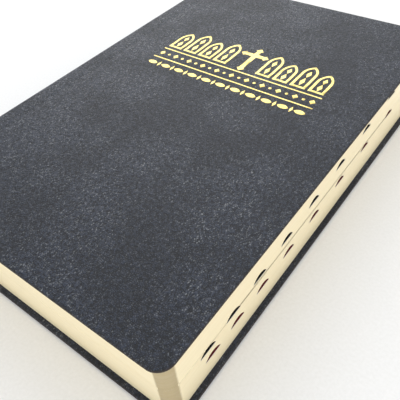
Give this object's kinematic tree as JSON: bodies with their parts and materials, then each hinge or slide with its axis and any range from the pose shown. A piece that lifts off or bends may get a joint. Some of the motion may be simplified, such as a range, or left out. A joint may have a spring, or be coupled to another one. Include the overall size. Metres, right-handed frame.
{
  "type": "bible",
  "caption": "Thumb-indexed bible with a grained flexible cover, gilt page edges and a blank gold ornament; covers, flyleaves and middle opening hinge.",
  "frame": {"origin": "middle of the underside of the closed book, which lies on its back cover", "axes": "+Y from tail to head, +X from spine to fore-edge, +Z through the thickness to the front cover"},
  "size_m": [0.139, 0.21, 0.036],
  "materials": {
    "cover_leather": "fine pebble grain, satin",
    "card": "plain grey-brown card",
    "endpaper": "smooth cream paper",
    "gold_foil": "hot-stamped metallic foil",
    "spine_gauze": "open weave, glued",
    "sewing_thread": "waxed linen thread",
    "band_silk": "worked gold and black silk",
    "black_label": "satin printed tab",
    "red_label": "satin printed tab",
    "bible_paper": "thin printed paper",
    "gilt_pages": "pages with burnished pale-gold edges"
  },
  "bodies": {
    "back_cover": {"back_cover_leather": "cover_leather", "back_cover_board": "card", "back_pastedown": "endpaper"},
    "back_flyleaf_body": {"back_flyleaf": "endpaper"},
    "rear_block": {"spine_leather_rear": "cover_leather", "spine_inlay_rear": "card", "spine_lining_rear": "spine_gauze", "sewing_thread_rear": "sewing_thread", "head_band_rear": "band_silk", "tail_band_rear": "band_silk", "black_labels_rear": "black_label", "red_labels_rear": "red_label", "signature_01": "gilt_pages", "signature_02": "gilt_pages", "signature_03": "gilt_pages", "signature_04": "gilt_pages", "signature_05": "gilt_pages", "signature_06": "gilt_pages", "signature_07": "gilt_pages", "signature_08": "gilt_pages", "signature_09": "gilt_pages", "signature_10": "gilt_pages", "signature_11": "gilt_pages", "signature_12": "gilt_pages"},
    "turning_leaf_1_body": {"turning_leaf_1": "bible_paper"},
    "turning_leaf_2_body": {"turning_leaf_2": "bible_paper"},
    "turning_leaf_3_body": {"turning_leaf_3": "bible_paper"},
    "turning_leaf_4_body": {"turning_leaf_4": "bible_paper"},
    "front_block": {"spine_leather_front": "cover_leather", "spine_inlay_front": "card", "spine_lining_front": "spine_gauze", "sewing_thread_front": "sewing_thread", "head_band_front": "band_silk", "tail_band_front": "band_silk", "black_labels_front": "black_label", "red_labels_front": "red_label", "signature_13": "gilt_pages", "signature_14": "gilt_pages", "signature_15": "gilt_pages", "signature_16": "gilt_pages", "signature_17": "gilt_pages", "signature_18": "gilt_pages", "signature_19": "gilt_pages", "signature_20": "gilt_pages", "signature_21": "gilt_pages", "signature_22": "gilt_pages", "signature_23": "gilt_pages", "signature_24": "gilt_pages"},
    "front_flyleaf_body": {"front_flyleaf": "endpaper"},
    "front_cover": {"front_cover_leather": "cover_leather", "front_cover_board": "card", "front_pastedown": "endpaper", "front_foil_ornament": "gold_foil"}
  },
  "joints": [
    {"name": "back_cover_hinge", "type": "hinge", "parent": "back_cover", "child": "rear_block", "pos_m": [-0.067, 0, 0], "axis": [0, -1, 0], "range_deg": [0, 15]},
    {"name": "back_flyleaf_turn", "type": "hinge", "parent": "back_cover", "child": "back_flyleaf_body", "pos_m": [-0.067, 0, 0], "axis": [0, -1, 0], "range_deg": [0, 8]},
    {"name": "book_opening", "type": "hinge", "parent": "rear_block", "child": "front_block", "pos_m": [-0.0695, 0, 0.018], "axis": [0, -1, 0], "range_deg": [0, 163]},
    {"name": "front_cover_hinge", "type": "hinge", "parent": "front_block", "child": "front_cover", "pos_m": [-0.057, 0, 0.0361], "axis": [0, 1, 0], "range_deg": [-180, 0]},
    {"name": "front_flyleaf_turn", "type": "hinge", "parent": "front_block", "child": "front_flyleaf_body", "pos_m": [-0.0568, 0, 0.03445], "axis": [0, 1, 0], "range_deg": [-40, 0]},
    {"name": "turning_leaf_1_turn", "type": "hinge", "parent": "rear_block", "child": "turning_leaf_1_body", "pos_m": [-0.0695, 0, 0.018], "axis": [0, -1, 0], "range_deg": [0, 27]},
    {"name": "turning_leaf_2_turn", "type": "hinge", "parent": "rear_block", "child": "turning_leaf_2_body", "pos_m": [-0.0695, 0, 0.018], "axis": [0, -1, 0], "range_deg": [0, 63]},
    {"name": "turning_leaf_3_turn", "type": "hinge", "parent": "rear_block", "child": "turning_leaf_3_body", "pos_m": [-0.0695, 0, 0.018], "axis": [0, -1, 0], "range_deg": [0, 102]},
    {"name": "turning_leaf_4_turn", "type": "hinge", "parent": "rear_block", "child": "turning_leaf_4_body", "pos_m": [-0.0695, 0, 0.018], "axis": [0, -1, 0], "range_deg": [0, 138]}
  ],
  "couplings": [
    {"joint": "back_flyleaf_turn", "follows": "back_cover_hinge", "ratio": 0.5},
    {"joint": "front_flyleaf_turn", "follows": "front_cover_hinge", "ratio": 0.2},
    {"joint": "turning_leaf_1_turn", "follows": "book_opening", "ratio": 0.16},
    {"joint": "turning_leaf_2_turn", "follows": "book_opening", "ratio": 0.38},
    {"joint": "turning_leaf_3_turn", "follows": "book_opening", "ratio": 0.62},
    {"joint": "turning_leaf_4_turn", "follows": "book_opening", "ratio": 0.84}
  ]
}
